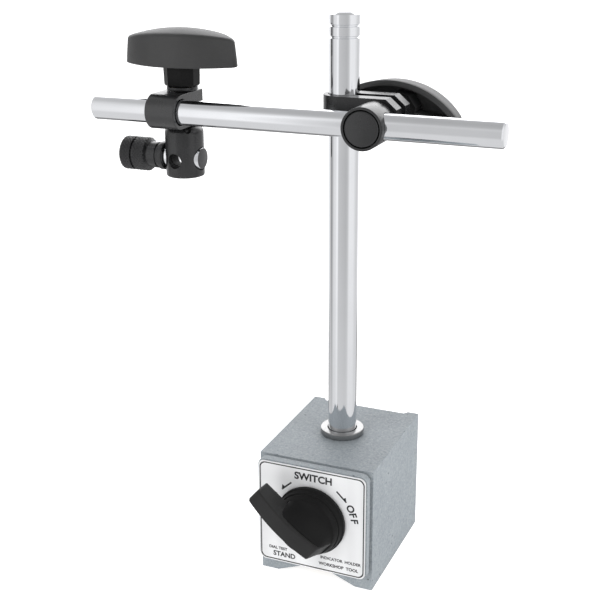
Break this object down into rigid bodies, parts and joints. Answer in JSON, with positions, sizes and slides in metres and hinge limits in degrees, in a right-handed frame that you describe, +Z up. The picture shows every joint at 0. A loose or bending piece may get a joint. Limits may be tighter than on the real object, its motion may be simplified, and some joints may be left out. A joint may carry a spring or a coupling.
{
  "type": "magnetic indicator stand",
  "caption": "Switchable magnet base with a round column, a clamped cross arm and a swivelling holder for a dial indicator stem.",
  "frame": {"origin": "middle of the overall footprint, on the floor the magnet block stands on", "axes": "+Z up along the column, +X along the cross arm away from the stem holder, +Y to the back of the magnet block"},
  "size_m": [0.1716, 0.087, 0.232],
  "materials": {
    "enamel": "light grey-blue hammered enamel",
    "brass": "plain turned brass",
    "seal": "thin black sheet",
    "plate": null,
    "plastic": "fine-grained moulding",
    "black_oxide": "satin black finish on steel",
    "chrome": "bright plated steel",
    "steel": "bright turned steel",
    "magnet": "dark sintered magnet"
  },
  "bodies": {
    "base": {"pole_left": "enamel", "pole_right": "enamel", "pole_spacer": "brass", "cover_gasket": "seal", "front_cover": "enamel", "cover_screw_lower_left": "steel", "cover_screw_lower_right": "steel", "cover_screw_upper_left": "steel", "cover_screw_upper_right": "steel", "nameplate": "plate", "spindle_bush": "brass", "journal_bush": "brass", "stop_pin": "steel", "column_collar": "steel"},
    "switch": {"rotor_magnet": "magnet", "rotor_shoe_left": "steel", "rotor_shoe_right": "steel", "rotor_front_end": "steel", "rotor_rear_end": "steel", "switch_knob": "plastic", "knob_pin": "steel"},
    "post": {"column": "chrome"},
    "clamp": {"clamp_block": "black_oxide"},
    "stud": {"clamp_stud": "black_oxide", "clamp_sleeve": "black_oxide"},
    "rear_wing": {"rear_knob": "plastic", "rear_knob_insert": "brass", "rear_washer": "black_oxide"},
    "arm": {"arm_rod": "chrome"},
    "band": {"arm_band": "black_oxide", "top_washer": "black_oxide"},
    "top_wing": {"top_knob": "plastic", "top_knob_insert": "brass"},
    "holder": {"stem_holder": "black_oxide", "draw_washer": "black_oxide"},
    "pin": {"draw_pin": "chrome"},
    "nut": {"draw_nut": "black_oxide"}
  },
  "joints": [
    {"name": "switch_turn", "type": "hinge", "parent": "base", "child": "switch", "pos_m": [0.01773, -0.02975, 0.031], "axis": [0, 1, 0], "range_deg": [0, 90]},
    {"name": "column_swing", "type": "hinge", "parent": "base", "child": "post", "pos_m": [0.01773, 0.01025, 0.1], "axis": [0, 0, 1], "range_deg": [-180, 180]},
    {"name": "clamp_height", "type": "slide", "parent": "post", "child": "clamp", "axis": [0, 0, 1], "range_m": [-0.11, 0.028]},
    {"name": "arm_tilt", "type": "hinge", "parent": "clamp", "child": "stud", "pos_m": [0.03363, 0.01025, 0.192], "axis": [0, -1, 0], "range_deg": [-45, 45]},
    {"name": "rear_knob_turn", "type": "hinge", "parent": "stud", "child": "rear_wing", "pos_m": [0.03363, 0.03025, 0.192], "axis": [0, 1, 0], "range_deg": [0, 360]},
    {"name": "arm_reach", "type": "slide", "parent": "stud", "child": "arm", "axis": [-1, 0, 0], "range_m": [-0.03, 0.04]},
    {"name": "band_turn", "type": "hinge", "parent": "arm", "child": "band", "pos_m": [-0.05147, -0.00575, 0.192], "axis": [1, 0, 0], "range_deg": [-180, 180]},
    {"name": "top_knob_turn", "type": "hinge", "parent": "band", "child": "top_wing", "pos_m": [-0.05147, 0.00575, 0.21], "axis": [0, 0, 1], "range_deg": [0, 360]},
    {"name": "holder_turn", "type": "hinge", "parent": "band", "child": "holder", "pos_m": [-0.05147, 0.00575, 0.175], "axis": [0, 0, 1], "range_deg": [-180, 180]},
    {"name": "nut_turn", "type": "hinge", "parent": "holder", "child": "nut", "pos_m": [-0.06728, 0.00575, 0.1712], "axis": [1, 0, 0], "range_deg": [0, 360]},
    {"name": "pin_draw", "type": "slide", "parent": "holder", "child": "pin", "axis": [-1, 0, 0], "range_m": [0, 0.0008]}
  ],
  "couplings": [
    {"joint": "nut_turn", "follows": "pin_draw", "rad_per_m": 7854}
  ]
}
